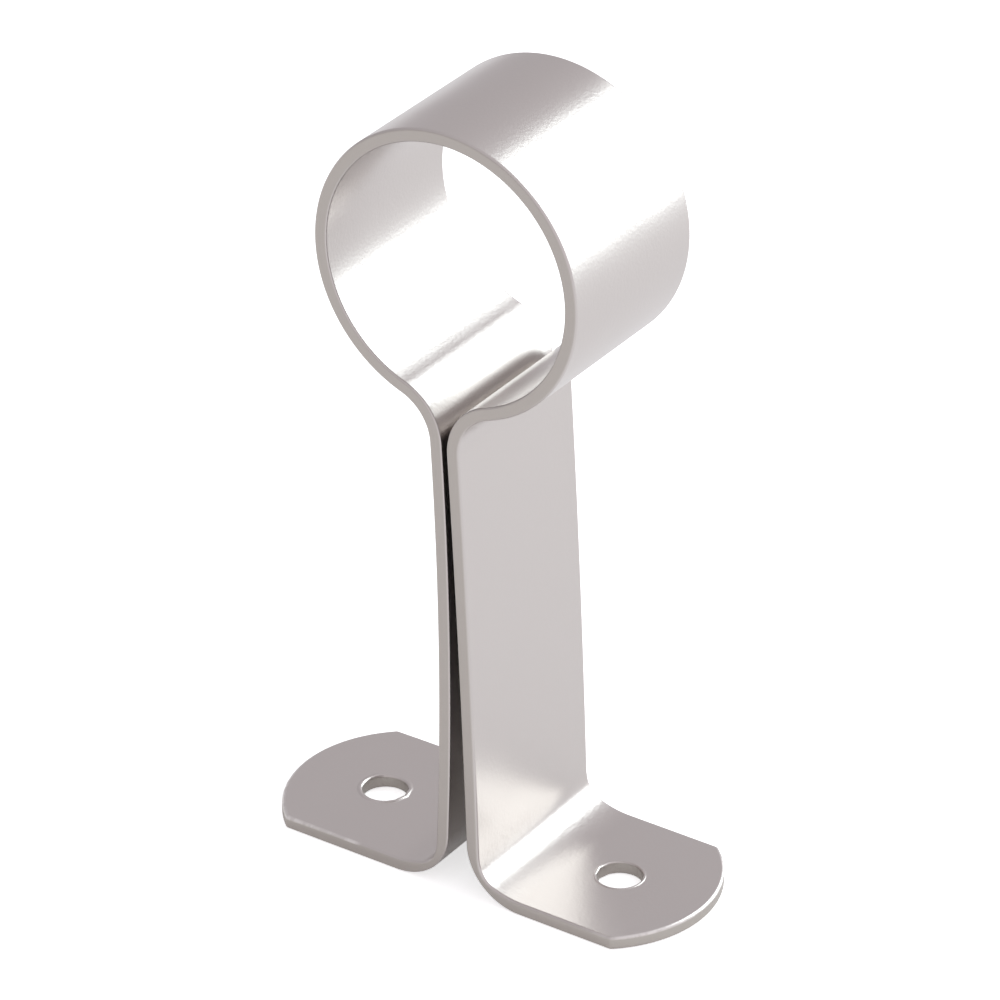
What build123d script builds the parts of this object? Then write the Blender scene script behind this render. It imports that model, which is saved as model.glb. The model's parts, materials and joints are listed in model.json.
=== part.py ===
from build123d import *
import os
from math import atan2, cos, degrees, isclose, radians, sin, sqrt

# Centre pole bracket: one nickel-plated steel strip, wrapped round a pole and bent out into two screw feet.
# X runs from the left foot to the right foot, Y along the pole and Z up from the surface that the feet sit on.
# The origin lies on that surface, midway between the two screw holes.

# Driving dimensions, in millimetres
pole_diameter = 25.0         # pole that the ring carries
pole_clearance = 0.1         # between the pole and the ring, all round
strip_thickness = 1.3
strip_width = 18.4
axis_height = 64.0           # pole's axis above the surface that the feet sit on
neck_radius = 4.7            # inside of the bend that turns the ring into a leg
neck_gap = 0.5               # between the two legs, just under the ring
foot_radius = 3.3            # inside of the bend that turns a leg into a foot
foot_back_radius = 5.8       # outside of the same bend, which the press draws thinner than the strip
overall_length = 45.0        # from the tip of one foot to the tip of the other
end_rise = 4.35              # how far a foot's round end stands out past its corners
corner_radius = 0.5          # corners where a foot's round end meets its straight sides
screw_spacing = 26.4         # between the centres of the two screw holes
screw_hole_diameter = 4.3
left_rim_radius = 0.45       # rolled rim at the top of the left screw hole, drawn in by the punch
right_rim_radius = 0.2       # the same on the right, where the punch bit more sharply
edge_chamfer = 0.18          # eased edges all round the strip

# Driving angles, in degrees
leg_lean = 3.7               # both legs lean this far towards the right foot where they leave the neck
leg_splay = 2.1              # each leg leans this far towards its own foot by the time it meets it

# Sizes that follow from them
ring_radius = pole_diameter / 2 + pole_clearance
corner_reach = overall_length / 2 - end_rise
total_height = axis_height + ring_radius + strip_thickness
edge_limit = 0.4 * strip_thickness      # the most that an eased edge or a rolled rim may take

LEFT = -1
RIGHT = 1


def neck_centre(lean):
    """Centre of the reverse bend, in a frame whose x grows outwards: it touches both the ring and its leg.

    Across the leg the centre lies one bend radius from the leg's inner face. Along the leg its place
    follows from its distance to the pole's axis, the sum of the two radii, by Pythagoras.
    """
    outer_bend = neck_radius + strip_thickness
    to_axis = ring_radius + strip_thickness + neck_radius
    pinch_x = neck_gap / 2
    pinch_z = axis_height - to_axis
    across = outer_bend + pinch_x * cos(lean) + (pinch_z - axis_height) * sin(lean)
    along = sqrt(to_axis**2 - across**2)
    x = across * cos(lean) + along * sin(lean)
    z = axis_height + across * sin(lean) - along * cos(lean)
    return x, z


def strip_face(side, depth):
    """One half of the strip's line, from the top of the ring to the end of a foot.

    Depth 0 is the face that touches the pole, the gap and the floor; a depth of one thickness is the other.
    """
    lean = radians(leg_lean * side)
    splay = radians(leg_splay)
    centre_x, centre_z = neck_centre(lean)
    wrap = atan2(centre_x, axis_height - centre_z)
    ring_arc = ring_radius + depth
    neck_arc = neck_radius + strip_thickness - depth
    foot_arc = foot_radius if depth else foot_back_radius

    ring = JernArc((0, axis_height + ring_arc), (side, 0), ring_arc, side * (degrees(wrap) - 180))
    neck = JernArc(ring @ 1, ring % 1, neck_arc, side * (90 + degrees(lean - wrap)))
    drop = (neck @ 1).Y - depth - foot_arc * (1 - sin(splay))
    if isclose(splay, lean):
        leg = Line(neck @ 1, neck @ 1 + (neck % 1) * drop / cos(lean))
    else:
        bow_arc = abs(drop / (sin(splay) - sin(lean)))
        leg = JernArc(neck @ 1, neck % 1, bow_arc, side * degrees(splay - lean))
    bend = JernArc(leg @ 1, leg % 1, foot_arc, side * (90 - degrees(splay)))
    foot = Line(bend @ 1, (side * overall_length / 2, depth))
    return [ring, neck, leg, bend, foot]


def strip_profile():
    """Closed outline of the bent strip, seen along the pole."""
    faces = [strip_face(side, depth) for side in (LEFT, RIGHT) for depth in (0, strip_thickness)]
    left_end = Line(faces[0][-1] @ 1, faces[1][-1] @ 1)
    right_end = Line(faces[2][-1] @ 1, faces[3][-1] @ 1)
    edges = [edge for face in faces for edge in face]
    return make_face(edges + [left_end, right_end])


def strip_plan():
    """Outline of the strip from above: straight sides, and a round end on each foot."""
    half_width = strip_width / 2
    front = Line((-corner_reach, -half_width), (corner_reach, -half_width))
    right_end = ThreePointArc(front @ 1, (overall_length / 2, 0), (corner_reach, half_width))
    back = Line(right_end @ 1, (-corner_reach, half_width))
    left_end = ThreePointArc(back @ 1, (-overall_length / 2, 0), front @ 0)
    return make_face([front, right_end, back, left_end])


def bent_strip():
    """The strip with its bends and round ends, and every edge eased."""
    wrapped = extrude(Plane.XZ * strip_profile(), strip_width / 2, both=True)
    strip = wrapped & extrude(strip_plan(), total_height)
    corners = strip.edges().filter_by(Axis.Z).filter_by_position(Axis.Z, 0, strip_thickness)
    strip = fillet(corners, corner_radius)
    bend_lines = strip.edges().filter_by(Axis.Y)
    corner_lines = strip.edges().filter_by(Axis.Z).filter_by_position(Axis.Z, 0, strip_thickness)
    return chamfer(strip.edges() - bend_lines - corner_lines, min(edge_chamfer, edge_limit))


def screw_hole(x, rim_radius):
    """Punch that cuts one screw hole, flared at the top to leave a rolled rim."""
    hole_radius = screw_hole_diameter / 2
    roll = min(rim_radius, edge_limit)
    wall = Line((hole_radius, 0), (hole_radius, strip_thickness - roll))
    flare = JernArc(wall @ 1, (0, 1), roll, -90)
    outline = Polyline(flare @ 1, (0, strip_thickness), (0, 0), wall @ 0)
    return Pos(x, 0, 0) * revolve(Plane.XZ * make_face([wall, flare, outline]), Axis.Z)


bracket = bent_strip()
bracket -= screw_hole(LEFT * screw_spacing / 2, left_rim_radius)
bracket -= screw_hole(RIGHT * screw_spacing / 2, right_rim_radius)

os.makedirs("parts", exist_ok=True)
export_step(bracket, "parts/pole_bracket.step")
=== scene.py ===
# %% [markdown]
# # A bent strip bracket
# The real bracket starts as a flat steel blank: a strip with two round ends and two punched holes.
# A press then wraps its middle round a mandrel, nips the neck and turns the two ends out into feet.
# In Blender it could be a curve with a flat section, but a curve can't carry holes and round ends.
# So this lesson works as the press does. It builds the flat blank as a mesh, bends every point of it
# at once with one formula, plates it with nickel and lights it like a studio shot.

# %% Load the frame
import json
import math

import bpy
import numpy as np
from mathutils import Matrix, Vector


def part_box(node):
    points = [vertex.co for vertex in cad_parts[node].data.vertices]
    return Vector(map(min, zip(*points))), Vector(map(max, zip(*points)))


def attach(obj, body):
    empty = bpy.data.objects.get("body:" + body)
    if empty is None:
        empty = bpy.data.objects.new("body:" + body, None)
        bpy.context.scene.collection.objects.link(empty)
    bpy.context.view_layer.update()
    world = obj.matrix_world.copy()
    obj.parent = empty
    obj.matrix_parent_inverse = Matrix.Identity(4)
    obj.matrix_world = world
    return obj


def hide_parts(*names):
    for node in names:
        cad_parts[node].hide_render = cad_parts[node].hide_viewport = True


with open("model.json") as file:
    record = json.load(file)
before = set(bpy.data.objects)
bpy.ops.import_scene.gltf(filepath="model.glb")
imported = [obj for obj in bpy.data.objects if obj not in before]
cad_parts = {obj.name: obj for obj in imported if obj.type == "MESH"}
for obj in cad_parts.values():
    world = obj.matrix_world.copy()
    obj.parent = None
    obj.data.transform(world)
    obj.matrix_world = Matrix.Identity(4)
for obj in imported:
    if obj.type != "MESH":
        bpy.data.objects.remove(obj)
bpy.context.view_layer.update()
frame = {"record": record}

# %% [markdown]
# ## Sizes
# The mounts give the ring and the screw holes, and the box gives the strip's width, thickness and reach.
# These sizes could be typed in again, but a number that is kept in two places soon differs in one of them.
# Read from the frame, they keep the visible strip on the solid model. Lengths are in millimetres.

# %% Sizes from the frame
MM = 0.001
NODE = "pole_bracket"
mounts = {mount["name"]: mount for mount in frame["record"]["mounts"]}
box_low, box_high = (np.array(corner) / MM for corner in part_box(NODE))

ring_radius = mounts["pole_ring"]["dims"]["r_mm"]
axis_height = mounts["pole_ring"]["pos_m"][2] / MM
screw_spacing = mounts["foot_screws"]["dims"]["spacing_x_mm"]
hole_radius = mounts["foot_screws"]["dims"]["hole_r_mm"]
strip_width = box_high[1] - box_low[1]
strip_thickness = box_high[2] - axis_height - ring_radius
overall_length = box_high[0] - box_low[0]
print(f"strip {strip_width:.2f} x {strip_thickness:.2f} mm, ring radius {ring_radius:.2f} mm")

# %% [markdown]
# ## The bend table
# A press operator describes a bent strip by a table: go so far, turn so much. Nine rows make this one,
# from the left foot over the ring to the right foot. The strip's middle line could be traced as a spline,
# but a real bend is an arc, and a table of arcs is smooth and exact. Both halves use one function, because
# only the lean of their legs differs. Its one hard sum is at the neck, where a bend has to touch both the
# ring and the leg: the bend's centre lies its own radius off the leg, and both radii off the pole's axis.

# %% Bends of one half
LEFT, RIGHT = -1, 1
neck_radius = 4.7                # inside of the bend that turns the ring into a leg
neck_gap = 0.5                   # between the two legs, just under the ring
foot_back_radius = 5.8           # outside of the bend that turns a leg into a foot
leg_lean = math.radians(3.7)     # both legs lean this far to the right where they leave the neck
leg_splay = math.radians(2.1)    # each leg leans this far to its own foot where it meets it
half_thick = strip_thickness / 2


def half_strip(side):
    """Lengths and turns of one half, from the foot's tip to the ring, measured on the strip's middle line.

    Seen from the pole's axis, the neck's centre lies across the leg by its outer radius plus half the gap
    times cos lean, less to_axis times sin lean, and along it by sqrt(to_axis squared - across squared).
    The leg is an arc, so its drop is its chord times the cosine of its middle lean.
    """
    lean = leg_lean * side
    splay = leg_splay
    to_axis = ring_radius + strip_thickness + neck_radius
    across = neck_radius + strip_thickness + neck_gap / 2 * math.cos(lean) - to_axis * math.sin(lean)
    along = math.sqrt(to_axis**2 - across**2)
    centre_x = across * math.cos(lean) + along * math.sin(lean)
    centre_z = axis_height + across * math.sin(lean) - along * math.cos(lean)
    wrap = math.atan2(centre_x, axis_height - centre_z)

    neck_arc = neck_radius + half_thick
    foot_arc = foot_back_radius - half_thick
    leg_top_x = centre_x - neck_arc * math.cos(lean)
    leg_top_z = centre_z - neck_arc * math.sin(lean)
    drop = leg_top_z - half_thick - foot_arc * (1 - math.sin(splay))
    middle = (lean + splay) / 2
    leg_length = drop / (math.cos(middle) * np.sinc((splay - lean) / (2 * math.pi)))
    foot_start = leg_top_x + drop * math.tan(middle) + foot_arc * math.cos(splay)

    foot_turn = math.pi / 2 - splay
    neck_turn = math.pi / 2 + lean - wrap
    lengths = [overall_length / 2 - foot_start, foot_arc * foot_turn, leg_length, neck_arc * neck_turn]
    turns = [0.0, foot_turn, splay - lean, neck_turn]
    return lengths, turns, wrap


left_lengths, left_turns, left_wrap = half_strip(LEFT)
right_lengths, right_turns, right_wrap = half_strip(RIGHT)
print("left foot, bend, leg and neck in mm", np.round(left_lengths, 2))
print("right foot, bend, leg and neck in mm", np.round(right_lengths, 2))

# %% Nine rows from foot to foot
ring_turn = 2 * math.pi - left_wrap - right_wrap
ring_length = (ring_radius + half_thick) * ring_turn
run = np.array(left_lengths + [ring_length] + right_lengths[::-1])
turn = np.array(left_turns + [-ring_turn] + right_turns[::-1])
run_start = np.concatenate([[0.0], np.cumsum(run)])
heading_start = np.concatenate([[0.0], np.cumsum(turn)])
blank_length = run_start[-1]

chord = run * np.sinc(turn / (2 * math.pi))
chord_heading = heading_start[:-1] + turn / 2
steps = chord[:, None] * np.stack([np.cos(chord_heading), np.sin(chord_heading)], 1)
tip = np.array([-overall_length / 2, half_thick])
corner_points = tip + np.concatenate([np.zeros((1, 2)), np.cumsum(steps, 0)])
print(f"flat blank {blank_length:.1f} mm long, ends at {corner_points[-1].round(3)}")

# %% [markdown]
# ## Bending the blank
# A point of the blank has three numbers: s along the strip, y across it and d through its thickness.
# A Simple Deform modifier bends a mesh once, but this strip has seven bends, so a formula does the work.
# Along any row of the table the strip is an arc, and an arc's chord points halfway through its turn,
# which serves straight runs and bends alike. Directions bend in the same way as points, and that gives
# exact surface normals: a bright metal shows the smallest error in them.

# %% The bending formula


def bend(blank, normal):
    """Moves blank points and normals (s, y, d) to the bent strip (X, Y, Z), whole arrays at a time.

    In each row, u = s minus the row's start, curve = turn / length, and the point lies at a chord of
    u * sin(curve u / 2) / (curve u / 2) in the direction heading + curve u / 2, then d off the middle line.
    """
    s, y, d = blank[:, 0], blank[:, 1], blank[:, 2]
    row = np.clip(np.searchsorted(run_start, s, side="right") - 1, 0, len(run) - 1)
    along = s - run_start[row]
    half_turn = along * turn[row] / run[row] / 2
    reach = along * np.sinc(half_turn / math.pi)
    aim = heading_start[row] + half_turn
    heading = heading_start[row] + 2 * half_turn
    ahead = np.stack([np.cos(heading), np.zeros_like(s), np.sin(heading)], 1)
    off = np.stack([-np.sin(heading), np.zeros_like(s), np.cos(heading)], 1)
    across = np.array([0.0, 1.0, 0.0])
    place = np.stack(
        [corner_points[row, 0] + reach * np.cos(aim), y, corner_points[row, 1] + reach * np.sin(aim)], 1
    )
    place += off * (d - half_thick)[:, None]
    facing = ahead * normal[:, :1] + across * normal[:, 1:2] + off * normal[:, 2:]
    return place, facing / np.linalg.norm(facing, axis=1, keepdims=True)


middle_top = np.array([[blank_length / 2, 0.0, strip_thickness]])
print("the blank's middle bends to", bend(middle_top, np.array([[0.0, 0.0, 1.0]]))[0].round(2), "mm")

# %% [markdown]
# ### Thinned foot bends
# The press draws the metal thin where a leg turns into a foot. Inside the bend the face runs wide and
# shallow on the foot, turns tightly and eases again on the leg, as steel does when it springs away from
# the tool. A single arc would be simpler, but this bend carries the brightest highlight of the bracket,
# and a highlight's width follows the radius at each angle. So a short table gives that radius. The blank's
# upper face then sinks a little there and its normal leans, while its lower face stays as it is.

# %% The upper face
FACE_STEPS = 400
inside_angles = np.radians([0, 16, 24, 72, 80, 90])          # slope of the face, from the foot to the leg
inside_radii = np.array([9.0, 9.0, 2.45, 2.45, 5.5, 5.5])    # radius of the face at each of these slopes


def foot_bend_face():
    """The upper face through a foot bend: distance from the start of the bend, sink and lean of the normal.

    The face turns from an angle f = 0 on the foot to T on the leg, and with a radius R(f) it runs along
    x' = R cos f and z' = R sin f. The whole curve then slides along the foot until it ends on the leg's
    face. From the centre of the back of the bend it is seen at an angle p and a reach, so that
    sink = reach - r and lean = p - f.
    """
    r, leg_angle = foot_back_radius - strip_thickness, turn[1]
    f = np.linspace(0, leg_angle, FACE_STEPS)
    middle = (f[1:] + f[:-1]) / 2
    arc = np.interp(middle, inside_angles, inside_radii) * np.diff(f)
    x = np.concatenate([[0.0], np.cumsum(arc * np.cos(middle))])
    z = np.concatenate([[0.0], np.cumsum(arc * np.sin(middle))])
    x += (r + (z[-1] - r) * math.cos(leg_angle)) / math.sin(leg_angle) - x[-1]
    leg = np.linspace(0, 1, FACE_STEPS)[1:]
    x = np.concatenate([x, x[-1] + (r * math.sin(leg_angle) - x[-1]) * leg])
    z = np.concatenate([z, z[-1] + (r * (1 - math.cos(leg_angle)) - z[-1]) * leg])
    f = np.concatenate([f, np.full_like(leg, leg_angle)])
    p = np.arctan2(np.maximum(x, 0), r - z)
    reach = np.where(x > 0, np.hypot(x, r - z), r - z)
    along = np.where(x > 0, p * run[1] / leg_angle, x)
    return along, reach - r, p - f


face_along, face_sink, face_lean = foot_bend_face()


def upper_face(s):
    """Depth of the blank's upper face at s, and the parts of its normal along the strip and off it.

    Both bends are read from the same curve, each from its own foot: depth = thickness - sink, and the
    normal is (sin lean, cos lean).
    """
    from_left, from_right = s - run_start[1], run_start[-2] - s
    sink = np.interp(from_left, face_along, face_sink) + np.interp(from_right, face_along, face_sink)
    lean = np.interp(from_left, face_along, face_lean) - np.interp(from_right, face_along, face_lean)
    return strip_thickness - sink, np.sin(lean), np.cos(lean)


print(f"thinnest at a bend {strip_thickness - face_sink.max():.2f} mm")

# %% [markdown]
# ## The flat blank
# The blank's surface is a set of grids, because rows and columns of points can be worked out as whole
# arrays. Modelling by hand would start from a box and loop cuts, and would only come near the true normals.
# Each point keeps eight numbers: its place on the blank, its normal there, how far it is sheared and how
# much painted highlight it carries. The first two grids are the upper and lower faces of the plain ribbon
# between the feet. Evenly spaced rows would waste points on the feet and still show facets in the ring's
# reflections, so each row of the bend table has its own number of steps, with the most on the ring and the
# fewest at the ends.

# %% Faces of the ribbon
COLUMNS = 8
ROWS = [6, 56, 40, 36, 256, 36, 40, 56, 6]
patch_length = 13.0      # of each foot, from its tip to the start of the ribbon
side_roll = 0.28         # rolled edges of the upper face, along the strip's sides
sheared_radius = 0.22    # edges of the lower face
half_width = strip_width / 2
grids = []


def add_grid(s, y, d, normal_s, normal_y, normal_d, sheared, edge_highlight):
    """Keeps one grid of the blank: eight arrays that broadcast to the same rows and columns."""
    layers = np.broadcast_arrays(s, y, d, normal_s, normal_y, normal_d, sheared, edge_highlight)
    grids.append(np.stack(layers, axis=-1).astype(float))


ends = np.clip(run_start, patch_length, blank_length - patch_length)
rows = [np.linspace(a, b, n + 1)[:-1] for a, b, n in zip(ends[:-1], ends[1:], ROWS)]
ribbon_s = np.concatenate(rows + [ends[-1:]])
ribbon_share = np.linspace(-1, 1, COLUMNS + 1)
top_depth, along, off = (values[:, None] for values in upper_face(ribbon_s))
add_grid(ribbon_s[:, None], ribbon_share * (half_width - side_roll), top_depth, along, 0.0, off, 0.0, 0.0)
add_grid(ribbon_s[:, None], ribbon_share * (half_width - sheared_radius), 0.0, 0.0, 0.0, -1.0, 0.0, 0.0)
print("ribbon rows", len(ribbon_s))

# %% [markdown]
# ### Edges
# A shear rolls over the edge that it enters and leaves a straight wall below it, and tumbling rounds the
# rest. A Bevel modifier could round these edges, but here the roll grows towards the feet's round ends.
# So an edge is a section of two quarter turns, one rolled and one smaller, which is carried along the
# outline. The section knows its normals. It also marks its sheared wall, which stays duller, and its
# rolled corner, where a lighter colour paints a highlight line.

# %% Edges of the ribbon
ARC_STEPS = 8
SHEAR_START = 0.75    # outward part of the normal where the sheared wall begins
SHEAR_SPAN = 0.2      # how much more of it makes the wall fully dull
quarter_turn = np.linspace(0, math.pi / 2, ARC_STEPS)
section_angle = np.concatenate([quarter_turn, quarter_turn + math.pi / 2])
rolled_side = np.arange(2 * ARC_STEPS) < ARC_STEPS
outward, upward = np.sin(section_angle), np.cos(section_angle)
# Share of painted highlight across the section, strongest halfway round the rolled corner.
section_highlight = np.where(rolled_side, np.sin(2 * section_angle), 0.0)


def shear_mark(outward_part):
    """1 on the sheared wall, falling evenly to 0 where the surface turns away from facing outwards."""
    return np.clip((outward_part - SHEAR_START) / SHEAR_SPAN, 0, 1)


def edge_section(roll):
    """Inset from the outline and depth of the edge, one row of the grid for each rolled radius.

    With a from 0 to pi, inset = r (1 - sin a), and depth = t - r (1 - cos a) above and r (1 + cos a) below.
    """
    radius = np.where(rolled_side, roll[:, None], sheared_radius)
    base = np.where(rolled_side, strip_thickness - roll[:, None], sheared_radius)
    return radius * (1 - outward), base + radius * upward


def add_edge(s, y, normal_s, normal_y, roll, painted_highlight):
    """Rounded edge along a stretch of the outline: point = outline - inset * the outline's own normal."""
    inset, depth = edge_section(roll)
    edge_s = s[:, None] - inset * normal_s[:, None]
    top_depth, along, off = upper_face(edge_s)
    add_grid(
        edge_s,
        y[:, None] - inset * normal_y[:, None],
        depth + np.where(rolled_side, top_depth - strip_thickness, 0.0),
        outward * normal_s[:, None] + np.where(rolled_side, upward * along, 0.0),
        outward * normal_y[:, None],
        upward * np.where(rolled_side, off, 1.0),
        shear_mark(outward),
        # painted highlight on the rolled corner
        section_highlight * painted_highlight[:, None],
    )


one = np.ones_like(ribbon_s)
for way in (-1.0, 1.0):
    add_edge(ribbon_s, way * half_width * one, 0.0 * one, way * one, side_roll * one, 0.0 * one)
print("points across an edge", len(section_angle))

# %% [markdown]
# ### Outline of a foot
# A foot's outline is a straight side, a small corner, the round end, and the same again. A Boolean could
# cut it from a plate, but would leave ragged faces there. As arcs and lines that meet without a kink, the
# outline gives an even row of points, each with its exact normal.

# %% Foot outline
SIDE_STEPS, CORNER_STEPS, END_STEPS = 10, 8, 60
end_rise = 4.35        # how far the round end stands out past its corners
corner_radius = 0.5    # where the round end meets the straight sides
end_radius = (half_width**2 + end_rise**2) / (2 * end_rise)
corner_y = half_width - corner_radius
corner_u = end_radius - math.sqrt((end_radius - corner_radius) ** 2 - corner_y**2)
corner_angle = math.atan2(corner_y, end_radius - corner_u)


def foot_outline():
    """Outline of one foot as u from its tip and y, with outward normals, from the front join to the back.

    Each point = centre - radius * (cos a, sin a). The angle a is measured from the way to the tip: a corner
    runs from a quarter turn to the angle where it touches the end arc, which runs between the two corners.
    """
    side = np.linspace(patch_length, corner_u, SIDE_STEPS + 1)[:-1]
    corner = np.linspace(math.pi / 2, corner_angle, CORNER_STEPS + 1)
    end = np.linspace(corner_angle, -corner_angle, END_STEPS + 1)[1:-1]
    counts = [len(side), len(corner), len(end), len(corner), len(side)]
    quarter = np.full_like(side, math.pi / 2)
    angle = np.concatenate([quarter, corner, end, -corner[::-1], -quarter])
    arc_u = np.concatenate([side, np.repeat([corner_u, end_radius, corner_u], counts[1:-1]), side[::-1]])
    arc_y = np.repeat([-corner_y, -corner_y, 0.0, corner_y, corner_y], counts)
    arc_r = np.repeat([corner_radius, corner_radius, end_radius, corner_radius, corner_radius], counts)
    normal_u, normal_y = -np.cos(angle), -np.sin(angle)
    return arc_u + arc_r * normal_u, arc_y + arc_r * normal_y, normal_u, normal_y


print(f"round end of radius {end_radius:.2f} mm, outline of {len(foot_outline()[0])} points")

# %% [markdown]
# ### Holes with raised lips
# The punch pushed up a thin lip round each screw hole, and the lip catches a bright line of light. Bump
# could shade such a lip, but it would leave the edge of the hole flat. As a section that is carried round
# the hole, the lip is true from all sides: the face climbs, rolls over and goes down to the lower face.

# %% Section of a hole's rim
LIP_STEPS = 6


def rim_section(ray_y, rim_radius, lip_width, lip_height):
    """Inset from a hole's wall, depth, and the inward and upward parts of the normal, a row for each ray.

    The face climbs by height * (3 w w - 2 w w w) over the lip's width, w from 0 to 1, then rolls into the
    hole. The lip is full at the front and sides, and fades out at the back by 1 - sin squared of the ray.
    """
    height = lip_height * (1 - np.maximum(ray_y, 0) ** 2)[:, None]
    w = np.linspace(0, 1, LIP_STEPS + 1)[:-1]
    slope = height * 6 * w * (1 - w) / lip_width
    lip_inset = np.broadcast_to(rim_radius + lip_width * (1 - w), slope.shape)
    lip_depth = strip_thickness + height * w**2 * (3 - 2 * w)
    inset, depth = edge_section(np.full_like(ray_y, rim_radius))
    depth = depth + np.where(rolled_side, height, 0.0)
    inward = np.concatenate([-slope, np.broadcast_to(outward, inset.shape)], 1)
    rise = np.concatenate([np.ones_like(slope), np.broadcast_to(upward, inset.shape)], 1)
    return np.concatenate([lip_inset, inset], 1), np.concatenate([lip_depth, depth], 1), inward, rise


print("points down a hole's rim", LIP_STEPS + len(section_angle))

# %% [markdown]
# ### Both feet
# Rays from the hole to the outline carry the flat faces of a foot. A fill of triangles could close them
# too, but rays keep the grid even. The two feet are the same shape with small differences from the press:
# the left one has a larger rolled end and a higher lip round its hole. Its front edge also carries a
# painted highlight.

# %% Two feet
RAY_STEPS = 8
RAY_CROWDING = 1.5    # above 1, the steps of a ray are shorter near the hole
roll_reach = 9.0      # how far from its tip a foot's edge is rolled more and carries more painted highlight
hole_u = (overall_length - screw_spacing) / 2


def end_share(u):
    """1 at the tip of a foot, falling to 0 at roll_reach from it by a smooth step, 3 w w - 2 w w w."""
    share = np.clip(1 - u / roll_reach, 0, 1)
    return share**2 * (3 - 2 * share)


def add_foot(side, end_roll, front_highlight, rim_radius, lip_width, lip_height):
    """One foot: its edge, the wall of its hole with lip and rim, and both flat faces between the two.

    A point of a flat face lies on its ray at near + (far - near) * share, from the rim to the edge.
    """
    u, y, normal_u, normal_y = foot_outline()
    start, way = (0.0, 1.0) if side == LEFT else (blank_length, -1.0)
    roll = side_roll + (end_roll - side_roll) * end_share(u)
    # Painted highlight along the edge: full near the tip, and all along the front side where the foot asks
    # for it.
    painted_highlight = np.maximum(end_share(u), front_highlight * np.clip(-normal_y, 0, 1))
    add_edge(start + way * u, y, way * normal_u, normal_y, roll, painted_highlight)

    join = np.full(COLUMNS - 1, patch_length)
    join_share = ribbon_share[-2:0:-1]
    loop_u = np.concatenate([u, join, u[:1]])
    loop_y = np.concatenate([y, half_width * join_share, y[:1]])
    ray = np.arctan2(loop_y, loop_u - hole_u)
    ray_u, ray_y = np.cos(ray), np.sin(ray)
    inset, depth, inward, rise = rim_section(ray_y, rim_radius, lip_width, lip_height)
    wall = hole_radius + inset
    add_grid(
        start + way * (hole_u + wall * ray_u[:, None]),
        wall * ray_y[:, None],
        depth,
        -way * inward * ray_u[:, None],
        -inward * ray_y[:, None],
        rise,
        shear_mark(inward),
        0.0,
    )

    share = np.linspace(0, 1, RAY_STEPS + 1) ** RAY_CROWDING
    upper = (strip_thickness, 1.0, roll, wall[:, 0])
    lower = (0.0, -1.0, np.full_like(u, sheared_radius), wall[:, -1])
    for depth, up, edge, rim in (upper, lower):
        near_u, near_y = hole_u + rim * ray_u, rim * ray_y
        join_y = join_share * (half_width - edge[-1])
        far_u = np.concatenate([u - edge * normal_u, join, [patch_length]])
        far_y = np.concatenate([y - edge * normal_y, join_y, [edge[0] - half_width]])
        flat_u = near_u[:, None] + (far_u - near_u)[:, None] * share
        flat_y = near_y[:, None] + (far_y - near_y)[:, None] * share
        add_grid(start + way * flat_u, flat_y, depth, 0.0, 0.0, up, 0.0, 0.0)


# Only the left foot's front edge gets the painted highlight.
add_foot(LEFT, end_roll=0.45, front_highlight=1.0, rim_radius=0.28, lip_width=0.3, lip_height=0.12)
add_foot(RIGHT, end_roll=0.3, front_highlight=0.0, rim_radius=0.2, lip_width=0.15, lip_height=0.06)
print("grids", len(grids))

# %% [markdown]
# ## From grids to one closed mesh
# The real strip is one piece without a seam. Merge by Distance could join the grids, but they share their
# borders exactly, so equal points are found by rounding them to a ten-thousandth of a millimetre. That
# keeps the arrays in step with the mesh. A face whose corners run the wrong way round is turned, which
# shows when it is compared with its normals.

# %% Merge the grids
MERGE_STEP = 1e-4


def grid_quads(rows, columns, first):
    """Corner indices of every cell of a grid whose points are numbered row by row from first."""
    index = first + np.arange(rows * columns).reshape(rows, columns)
    return np.stack([index[:-1, :-1], index[1:, :-1], index[1:, 1:], index[:-1, 1:]], -1).reshape(-1, 4)


first_points = np.cumsum([0] + [grid.shape[0] * grid.shape[1] for grid in grids])
grid_points = np.concatenate([grid.reshape(-1, grid.shape[-1]) for grid in grids])
quads = np.concatenate([grid_quads(*grid.shape[:2], first) for grid, first in zip(grids, first_points)])
keys = np.round(grid_points[:, :3] / MERGE_STEP).astype(np.int64)
_, kept, merged = np.unique(keys, axis=0, return_index=True, return_inverse=True)
points = grid_points[kept]
quads = merged.reshape(-1)[quads]
print(len(grid_points), "grid points merged to", len(points))

# %% Bend the blank and build the mesh
blank, normal = points[:, :3], points[:, 3:6]
place, facing = bend(blank, normal)
diagonal_a = place[quads[:, 2]] - place[quads[:, 0]]
diagonal_b = place[quads[:, 3]] - place[quads[:, 1]]
wrong_way = np.einsum("ij,ij->i", np.cross(diagonal_a, diagonal_b), facing[quads].mean(1)) < 0
quads[wrong_way] = quads[wrong_way, ::-1]

mesh = bpy.data.meshes.new("bent_strip")
mesh.from_pydata((place * MM).tolist(), [], quads.tolist())
mesh.validate()
mesh.shade_smooth()
mesh.normals_split_custom_set_from_vertices(facing.tolist())
print("mesh of", len(mesh.vertices), "points and", len(mesh.polygons), "faces")
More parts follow.
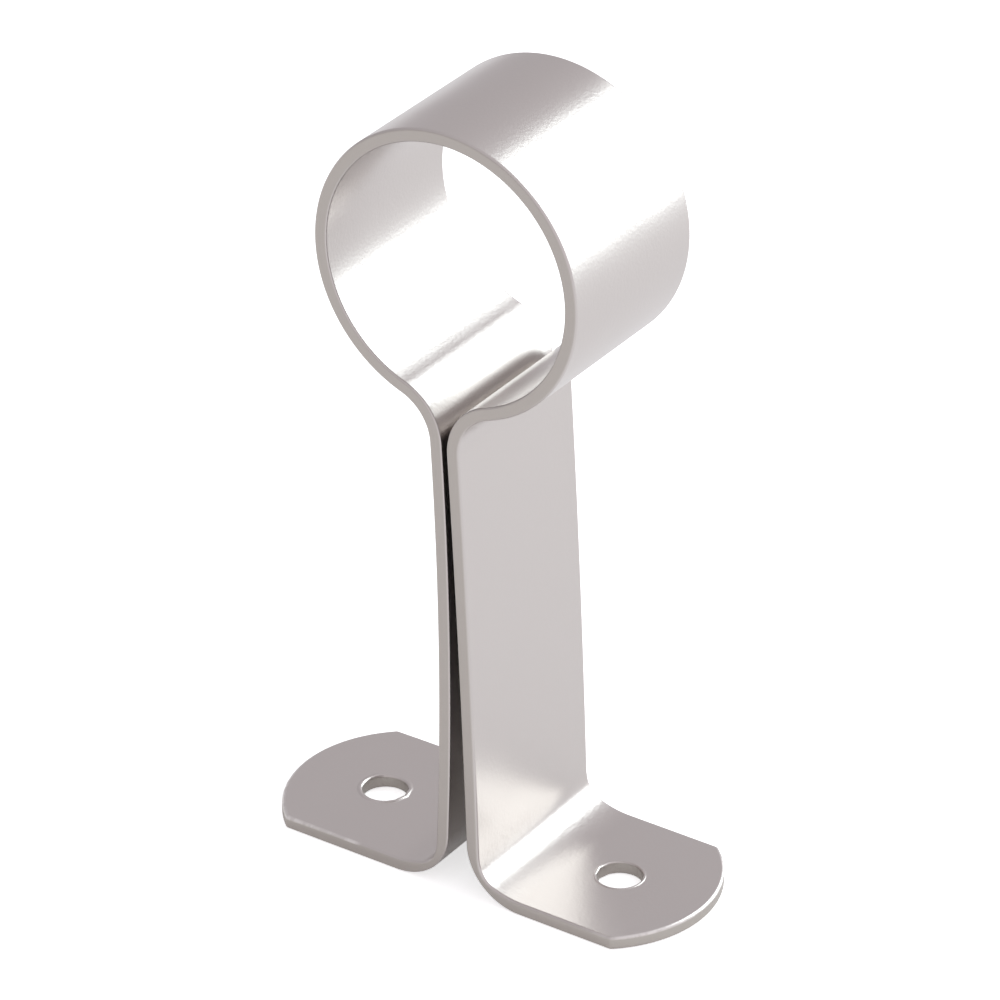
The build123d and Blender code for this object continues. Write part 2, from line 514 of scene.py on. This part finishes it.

# %% [markdown]
# ### Marks for the finish
# The finish isn't the same all along the strip: sheared walls are dull, the feet's rolled corners carry a
# painted highlight, and inside the foot bends the squeezed metal is faintly crinkled. Such places could be
# painted by hand, vertex by vertex. Here they come from the grids as named attributes, so they fit the
# shape at any size. A UV map keeps each point's place on the flat blank, in metres, so that patterns follow
# the strip round its bends.

# %% Marks and places on the blank
CRINKLE_FULL, CRINKLE_END = 0.25, 0.75    # distance from the middle of a bend, as shares of its length
left_bend, right_bend = run_start[1:3].mean(), run_start[-3:-1].mean()
from_bend = np.minimum(np.abs(blank[:, 0] - left_bend), np.abs(blank[:, 0] - right_bend)) / run[1]
near_bend = np.clip((CRINKLE_END - from_bend) / (CRINKLE_END - CRINKLE_FULL), 0, 1)
on_upper_face = np.clip(normal[:, 2], 0, 1)
marks = {
    "sheared_edge": points[:, 6],
    # Share of painted highlight on the feet's rolled edges.
    "painted_edge_highlight": points[:, 7],
    "crinkled_bend": near_bend * on_upper_face,
}
for name, values in marks.items():
    mark = mesh.attributes.new(name, "FLOAT", "POINT")
    mark.data.foreach_set("value", values.astype(np.float32))

corner_vertex = np.zeros(len(mesh.loops), np.int32)
mesh.loops.foreach_get("vertex_index", corner_vertex)
blank_uv = mesh.uv_layers.new(name="blank")
blank_uv.data.foreach_set("uv", (blank[corner_vertex, :2] * MM).astype(np.float32).ravel())
print("marks", ", ".join(marks))

# %% [markdown]
# ### The strip in the frame
# The bracket has no joints, so the strip rides on the one body that there is. It stands for the solid,
# which is then hidden. The solid itself could have been kept and given a better material, but it has no
# rolled edges or lips. In a closed mesh each side belongs to two faces, so a count of the other sides finds
# any hole.

# %% The strip as a piece
scene = bpy.context.scene
strip = bpy.data.objects.new("nickel_strip", mesh)
scene.collection.objects.link(strip)
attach(strip, "root")
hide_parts(NODE)
sides = np.sort(np.stack([quads, np.roll(quads, -1, 1)], -1).reshape(-1, 2), 1)
faces_at_side = np.unique(sides, axis=0, return_counts=True)[1]
print("piece", strip.name, "with", (faces_at_side != 2).sum(), "open sides")

# %% [markdown]
# ## Nickel plating
# The strip is rolled steel under a thin coat of nickel, a pale and slightly warm grey metal. The coat
# follows the steel, so the finish is satin: a reflection keeps its shape but has soft borders. One even
# colour and gloss would look like foil. The real surface has slight waves from the rolling mill, a fine
# grain, crinkles inside the foot bends and dull sheared walls, and the feet's edges get a painted
# highlight.
# Two helpers come first. Colours are written as sRGB hex values, as a paint program shows them, and turned
# to the linear light that Blender works in. Nodes could be wired in the editor, but one small function
# that adds a node with its settings and links keeps each of them to one statement.

# %% Helpers for materials


def linear(hex_colour):
    """An sRGB hex colour as linear red, green, blue and alpha.

    A part c of 0 to 1 becomes c / 12.92 up to 0.04045, and ((c + 0.055) / 1.055) to the power of 2.4 above.
    """
    srgb = np.array([int(hex_colour[i : i + 2], 16) for i in (1, 3, 5)]) / 255
    values = np.where(srgb <= 0.04045, srgb / 12.92, ((srgb + 0.055) / 1.055) ** 2.4)
    return (*values.tolist(), 1.0)


def add_node(tree, kind, settings=None, inputs=None):
    """Adds a node, sets its properties, and fills its inputs: a socket is linked, and a value is set."""
    made = tree.nodes.new(kind)
    for name, value in (settings or {}).items():
        setattr(made, name, value)
    for name, value in (inputs or {}).items():
        if isinstance(value, bpy.types.NodeSocket):
            tree.links.new(value, made.inputs[name])
        else:
            made.inputs[name].default_value = value
    return made


print("mid grey #808080 in linear light", round(linear("#808080")[0], 3))

# %% [markdown]
# ### Colour and gloss
# Sheared walls are rougher under the plating, so they look duller and darker. On the rolled corners of the
# feet a lighter colour paints a highlight line, broken into flecks. A second material on those faces would
# end in a hard border. The marks let one material change smoothly from place to place.

# %% Colour and gloss of the plating
# The third colour is a painted highlight for the rolled edges of the feet, laid on in flecks.
NICKEL, SHEARED_NICKEL, PAINTED_HIGHLIGHT_NICKEL = "#cac4c1", "#bab4ae", "#ece8e5"
SATIN_ROUGHNESS, SHEARED_ROUGHNESS = 0.29, 0.42
FLECK_SIZE = 1.1                       # of a fleck of painted highlight, in millimetres
FLECK_START, FLECK_FULL = 0.4, 0.56    # values of the noise between which a fleck grows
HIGHLIGHT_BETWEEN_FLECKS = 0.5                      # how much painted highlight lies between its flecks

# Satin nickel gives the eye a pale, warm grey with broad, soft-edged highlights that fade along the bends.
nickel = bpy.data.materials.new("satin_nickel_plating")
nickel.use_nodes = True
tree = nickel.node_tree
tree.nodes.clear()
on_blank = add_node(tree, "ShaderNodeUVMap", {"uv_map": "blank"}).outputs["UV"]
sheared = add_node(tree, "ShaderNodeAttribute", {"attribute_name": "sheared_edge"}).outputs["Fac"]
# Share of painted highlight at each point, read from the mesh.
edge_highlight = add_node(tree, "ShaderNodeAttribute", {"attribute_name": "painted_edge_highlight"}).outputs["Fac"]
fleck_noise = add_node(
    tree,
    "ShaderNodeTexNoise",
    {"noise_dimensions": "2D"},
    {"Vector": on_blank, "Scale": 1 / (FLECK_SIZE * MM), "Detail": 2.0},
).outputs["Fac"]
flecks = add_node(
    tree,
    "ShaderNodeMapRange",
    {},
    {"Value": fleck_noise, "From Min": FLECK_START, "From Max": FLECK_FULL, "To Min": HIGHLIGHT_BETWEEN_FLECKS},
).outputs["Result"]
# Painted highlight, broken into flecks.
highlight_mix = add_node(tree, "ShaderNodeMath", {"operation": "MULTIPLY"}, {0: edge_highlight, 1: flecks}).outputs[0]
dull = add_node(
    tree,
    "ShaderNodeMix",
    {"data_type": "RGBA"},
    {"Factor": sheared, "A": linear(NICKEL), "B": linear(SHEARED_NICKEL)},
).outputs["Result"]
colour = add_node(
    tree,
    "ShaderNodeMix",
    {"data_type": "RGBA"},
    {"Factor": highlight_mix, "A": dull, "B": linear(PAINTED_HIGHLIGHT_NICKEL)},
).outputs["Result"]
roughness = add_node(
    tree,
    "ShaderNodeMapRange",
    {},
    {"Value": sheared, "To Min": SATIN_ROUGHNESS, "To Max": SHEARED_ROUGHNESS},
).outputs["Result"]
print("material", nickel.name, "with", len(tree.nodes), "nodes so far")

# %% [markdown]
# ### Waves, grain and crinkles
# These are hundredths of a millimetre high. As geometry they would need millions of faces, so bump leans
# the normals instead. The noise lies on the blank's UV map, and its scale comes from the size of the lumps.
# The real grain is too fine to show at this distance, so it is drawn a few times coarser than it is.

# %% Bumps of the plating
WAVE_SIZE, WAVE_HEIGHT = 5.0, 0.03           # left by the rolling mill, in millimetres
GRAIN_SIZE, GRAIN_HEIGHT = 0.36, 0.009       # drawn coarser than the real grain, so that it shows
CRINKLE_SIZE, CRINKLE_HEIGHT = 0.8, 0.014    # squeezed skin inside the foot bends

wave_noise = add_node(
    tree,
    "ShaderNodeTexNoise",
    {"noise_dimensions": "2D"},
    {"Vector": on_blank, "Scale": 1 / (WAVE_SIZE * MM), "Detail": 0.0},
).outputs["Fac"]
grain_noise = add_node(
    tree,
    "ShaderNodeTexNoise",
    {"noise_dimensions": "2D"},
    {"Vector": on_blank, "Scale": 1 / (GRAIN_SIZE * MM), "Detail": 1.0},
).outputs["Fac"]
crinkle_noise = add_node(
    tree,
    "ShaderNodeTexNoise",
    {"noise_dimensions": "2D"},
    {"Vector": on_blank, "Scale": 1 / (CRINKLE_SIZE * MM), "Detail": 1.0},
).outputs["Fac"]
crinkled = add_node(tree, "ShaderNodeAttribute", {"attribute_name": "crinkled_bend"}).outputs["Fac"]
wavy = add_node(
    tree,
    "ShaderNodeBump",
    {},
    {"Height": wave_noise, "Distance": WAVE_HEIGHT * MM},
).outputs["Normal"]
grainy = add_node(
    tree,
    "ShaderNodeBump",
    {},
    {"Height": grain_noise, "Distance": GRAIN_HEIGHT * MM, "Normal": wavy},
).outputs["Normal"]
crinkly = add_node(
    tree,
    "ShaderNodeBump",
    {},
    {"Strength": crinkled, "Height": crinkle_noise, "Distance": CRINKLE_HEIGHT * MM, "Normal": grainy},
).outputs["Normal"]
metal = add_node(
    tree,
    "ShaderNodeBsdfPrincipled",
    {},
    {"Base Color": colour, "Roughness": roughness, "Metallic": 1.0, "Normal": crinkly},
).outputs["BSDF"]
add_node(tree, "ShaderNodeOutputMaterial", {}, {"Surface": metal})
mesh.materials.append(nickel)
print("material", nickel.name, "with", len(tree.nodes), "nodes")

# %% [markdown]
# ## Camera
# The photograph was taken from a little above and to the right with a long lens, so upright lines stay
# nearly parallel. A Track To constraint could aim the camera, but the photograph also has a small roll.
# So the camera's own right, up and back directions are worked out from three angles and become the columns
# of its matrix. It looks at a point about halfway up the bracket, and is slid a little to frame it.

# %% Camera
AZIMUTH, ELEVATION, ROLL = (math.radians(angle) for angle in (33.909, 30.055, 0.087))
DISTANCE = 551.4 * MM
FOCAL_PIXELS = 6094.3           # focal length, in pixels of the image
IMAGE_WIDTH = 1000
SENSOR = 36.0                   # its width, in millimetres
NEAREST, FARTHEST = 0.01, 20    # what the camera takes in, in metres
aim = Vector((0, 0, 38.0)) * MM
shift_right, shift_up = -0.164 * MM, -0.814 * MM

away = math.cos(ELEVATION)
back = Vector((math.sin(AZIMUTH) * away, -math.cos(AZIMUTH) * away, math.sin(ELEVATION)))
level_right = Vector((math.cos(AZIMUTH), math.sin(AZIMUTH), 0))
level_up = back.cross(level_right)
right = level_right * math.cos(ROLL) + level_up * math.sin(ROLL)
up = level_up * math.cos(ROLL) - level_right * math.sin(ROLL)
turned = Matrix((right, up, back)).transposed().to_4x4()

camera = bpy.data.objects.new("camera", bpy.data.cameras.new("camera"))
camera.data.sensor_width = SENSOR
camera.data.lens = FOCAL_PIXELS / IMAGE_WIDTH * SENSOR
camera.data.clip_start, camera.data.clip_end = NEAREST, FARTHEST
stand = aim + right * shift_right + up * shift_up + back * DISTANCE
camera.matrix_world = Matrix.Translation(stand) @ turned
scene.collection.objects.link(camera)
bpy.context.scene.camera = camera
print(f"camera lens {camera.data.lens:.0f} mm")

# %% [markdown]
# ## Studio floor
# Bright metal is mostly a picture of the room round it, so the room matters as much as the metal. The
# floor is a large sheet of white paper, just under the feet so that the two don't share a plane. A white
# background could come from stronger lamps, but those would burn out the metal. So the paper itself glows:
# a little wherever it is seen, in reflections too, and more for the camera. It keeps the soft shadow.

# %% Floor
FLOOR_SIZE = 6.0    # in metres
FLOOR_DROP = 0.05 * MM
half = FLOOR_SIZE / 2
corners = [(x * half, y * half, -FLOOR_DROP) for x, y in ((-1, -1), (1, -1), (1, 1), (-1, 1))]
floor_mesh = bpy.data.meshes.new("floor")
floor_mesh.from_pydata(corners, [], [(0, 1, 2, 3)])
floor = bpy.data.objects.new("floor", floor_mesh)
scene.collection.objects.link(floor)
print("floor", FLOOR_SIZE, "m wide")

# %% White paper
PAPER = "#f7f7f7"
SEEN_GLOW = 0.1      # for the camera and for reflections
CAMERA_GLOW = 0.5    # added for the camera alone

# Paper gives the eye an even white without gloss, on which only the shadow shows.
paper = bpy.data.materials.new("white_paper")
paper.use_nodes = True
tree = paper.node_tree
tree.nodes.clear()
rays = add_node(tree, "ShaderNodeLightPath").outputs
first_seen = add_node(
    tree,
    "ShaderNodeMath",
    {"operation": "MAXIMUM"},
    {0: rays["Is Camera Ray"], 1: rays["Is Glossy Ray"]},
).outputs[0]
seen = add_node(
    tree,
    "ShaderNodeMath",
    {"operation": "MAXIMUM"},
    {0: first_seen, 1: rays["Is Transmission Ray"]},
).outputs[0]
seen_glow = add_node(tree, "ShaderNodeMath", {"operation": "MULTIPLY"}, {0: seen, 1: SEEN_GLOW}).outputs[0]
glow = add_node(
    tree,
    "ShaderNodeMath",
    {"operation": "MULTIPLY_ADD"},
    {0: rays["Is Camera Ray"], 1: CAMERA_GLOW, 2: seen_glow},
).outputs[0]
matte = add_node(tree, "ShaderNodeBsdfDiffuse", {}, {"Color": linear(PAPER)}).outputs[0]
white = add_node(tree, "ShaderNodeEmission", {}, {"Strength": glow}).outputs[0]
sheet = add_node(tree, "ShaderNodeAddShader", {}, {0: matte, 1: white}).outputs[0]
add_node(tree, "ShaderNodeOutputMaterial", {}, {"Surface": sheet})
floor_mesh.materials.append(paper)
print("material", paper.name)

# %% [markdown]
# ## Room
# Pale walls light the bracket softly from all round. In the photograph its left sides are darker than its
# right ones. A second lamp could do that, but would add a highlight of its own. So the world's light grows
# evenly from the left to the right. The Standard view shows each colour as it is written.

# %% Pale room
ROOM = "#fffbff"
LEFT_LEVEL, RIGHT_LEVEL = 0.56, 0.94
scene.view_settings.view_transform = "Standard"
world = bpy.data.worlds.new("studio")
scene.world = world
world.use_nodes = True
tree = world.node_tree
tree.nodes.clear()
direction = add_node(tree, "ShaderNodeTexCoord").outputs["Generated"]
to_right = add_node(tree, "ShaderNodeSeparateXYZ", {}, {0: direction}).outputs["X"]
room_level = add_node(
    tree,
    "ShaderNodeMapRange",
    {},
    {"Value": to_right, "From Min": -1.0, "To Min": LEFT_LEVEL, "To Max": RIGHT_LEVEL},
).outputs["Result"]
walls = add_node(
    tree,
    "ShaderNodeBackground",
    {},
    {"Color": linear(ROOM), "Strength": room_level},
).outputs[0]
add_node(tree, "ShaderNodeOutputWorld", {}, {"Surface": walls})
print("room level from", LEFT_LEVEL, "on the left to", RIGHT_LEVEL, "on the right")

# %% [markdown]
# ## Panel
# The white bands on the ring and in the foot bend are one large soft panel, mirrored in each of them. It
# stands behind the bracket and to the right. A point lamp would give thin streaks, because a wide band
# needs a wide light. The panel is hidden from the camera, though the metal still mirrors it.

# %% Panel behind and to the right
PANEL = "#f1feff"
PANEL_PLACE = Vector((0.415, 0.855, 0.68))    # of its middle, in metres
PANEL_WIDTH, PANEL_HEIGHT = 0.85, 1.34
PANEL_BRIGHTNESS = 2.65                       # where 1 is white: watts are this times pi times the area
lamp = bpy.data.lights.new("back_right_panel", "AREA")
lamp.shape = "RECTANGLE"
lamp.size, lamp.size_y = PANEL_WIDTH, PANEL_HEIGHT
lamp.energy = PANEL_BRIGHTNESS * math.pi * PANEL_WIDTH * PANEL_HEIGHT
lamp.color = linear(PANEL)[:3]
panel = bpy.data.objects.new("back_right_panel", lamp)
to_bracket = Vector((0, 0, PANEL_PLACE.z)) - PANEL_PLACE
facing_bracket = to_bracket.to_track_quat("-Z", "Y").to_matrix().to_4x4()
panel.matrix_world = Matrix.Translation(PANEL_PLACE) @ facing_bracket
panel.visible_camera = False
scene.collection.objects.link(panel)
print(f"panel {PANEL_WIDTH} x {PANEL_HEIGHT} m, {lamp.energy:.1f} W")
